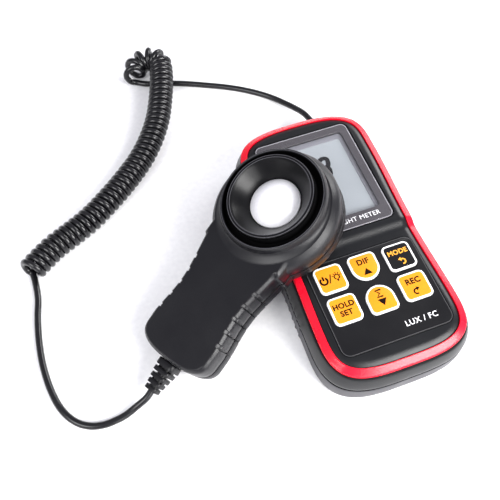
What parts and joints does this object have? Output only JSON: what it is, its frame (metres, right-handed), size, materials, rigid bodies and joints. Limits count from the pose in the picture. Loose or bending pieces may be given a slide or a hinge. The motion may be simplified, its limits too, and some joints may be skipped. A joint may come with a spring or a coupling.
{
  "type": "light meter",
  "caption": "Handheld light meter with a display, a keypad and a red trim ring, tethered by a curly cord to a paddle-shaped sensor probe with a white dome.",
  "frame": {"origin": "centre of the meter's back face, which lies on the table", "axes": "+X to the meter's right, +Y to its display end, +Z out of its display"},
  "size_m": [0.2073, 0.253, 0.0641],
  "materials": {
    "case_black": "fine-grained black moulded plastic",
    "rear_black": "fine-grained dark grey-black moulded plastic",
    "trim_red": "smooth bright red moulded plastic",
    "overlay_black": "satin black printed film",
    "key_amber": "satin amber with a white border and dark legends",
    "key_black": "satin black with a white border and amber legends",
    "window_clear": "clear window with a tinted border",
    "lcd_glass": "grey-green reflective display glass",
    "backlight_white": "white diffusing plate",
    "inner_plastic": "plain black plastic",
    "key_rubber": "grey silicone rubber",
    "board_green": "green circuit board",
    "cell_wrap": "plain blue printed sleeve on a steel can",
    "contact_metal": "nickel-plated steel",
    "probe_black": "fine-grained black moulded plastic",
    "bowl_black": "smooth satin black",
    "dome_white": "smooth opal white diffuser",
    "filter_glass": "green correction filter",
    "diode_dark": "dark photodiode window",
    "cord_black": "smooth black flexible jacket",
    "relief_black": "soft black moulded rubber"
  },
  "bodies": {
    "meter": {"rear_case": "rear_black", "front_case": "case_black", "trim_ring": "trim_red", "display_window": "window_clear", "lcd_panel": "lcd_glass", "lcd_backlight": "backlight_white", "lcd_holder": "inner_plastic", "lcd_connector": "key_rubber", "keypad_overlay": "overlay_black", "key_mat": "key_rubber", "circuit_board": "board_green", "buzzer": "inner_plastic", "controller_chip": "inner_plastic", "battery_cell_1": "cell_wrap", "battery_cell_2": "cell_wrap", "battery_cell_3": "cell_wrap", "contact_lower": "contact_metal", "contact_upper": "contact_metal", "case_screw_1": "contact_metal", "case_screw_2": "contact_metal", "case_screw_3": "contact_metal", "case_screw_4": "contact_metal", "entry_relief": "relief_black", "lead_to_probe": "cord_black", "cord_coil": "cord_black", "lead_to_meter": "cord_black"},
    "sensor": {"probe_front": "probe_black", "probe_rear": "probe_black", "bowl_ring": "bowl_black", "diffuser_dome": "dome_white", "sensor_filter": "filter_glass", "photodiode": "diode_dark", "sensor_board": "board_green", "probe_screw_1": "contact_metal", "probe_screw_2": "contact_metal", "probe_relief": "relief_black"},
    "door": {"battery_door": "rear_black"},
    "key_power_cap": {"key_power": "key_amber"},
    "key_difference_cap": {"key_difference": "key_amber"},
    "key_mode_cap": {"key_mode": "key_black"},
    "key_hold_cap": {"key_hold": "key_amber"},
    "key_sum_cap": {"key_sum": "key_amber"},
    "key_record_cap": {"key_record": "key_amber"}
  },
  "joints": [
    {"name": "sensor_lift", "type": "slide", "parent": "meter", "child": "sensor", "axis": [0, 0, 1], "range_m": [0, 0.04]},
    {"name": "battery_door_release", "type": "slide", "parent": "meter", "child": "door", "axis": [0, 0, -1], "range_m": [0, 0.03]},
    {"name": "key_power_press", "type": "slide", "parent": "meter", "child": "key_power_cap", "axis": [0, 0, -1], "range_m": [0, 0.0005], "stiffness_N_per_m": 1500, "springref_m": -0.0002},
    {"name": "key_difference_press", "type": "slide", "parent": "meter", "child": "key_difference_cap", "axis": [0, 0, -1], "range_m": [0, 0.0005], "stiffness_N_per_m": 1500, "springref_m": -0.0002},
    {"name": "key_mode_press", "type": "slide", "parent": "meter", "child": "key_mode_cap", "axis": [0, 0, -1], "range_m": [0, 0.0005], "stiffness_N_per_m": 1500, "springref_m": -0.0002},
    {"name": "key_hold_press", "type": "slide", "parent": "meter", "child": "key_hold_cap", "axis": [0, 0, -1], "range_m": [0, 0.0005], "stiffness_N_per_m": 1500, "springref_m": -0.0002},
    {"name": "key_sum_press", "type": "slide", "parent": "meter", "child": "key_sum_cap", "axis": [0, 0, -1], "range_m": [0, 0.0005], "stiffness_N_per_m": 1500, "springref_m": -0.0002},
    {"name": "key_record_press", "type": "slide", "parent": "meter", "child": "key_record_cap", "axis": [0, 0, -1], "range_m": [0, 0.0005], "stiffness_N_per_m": 1500, "springref_m": -0.0002}
  ]
}
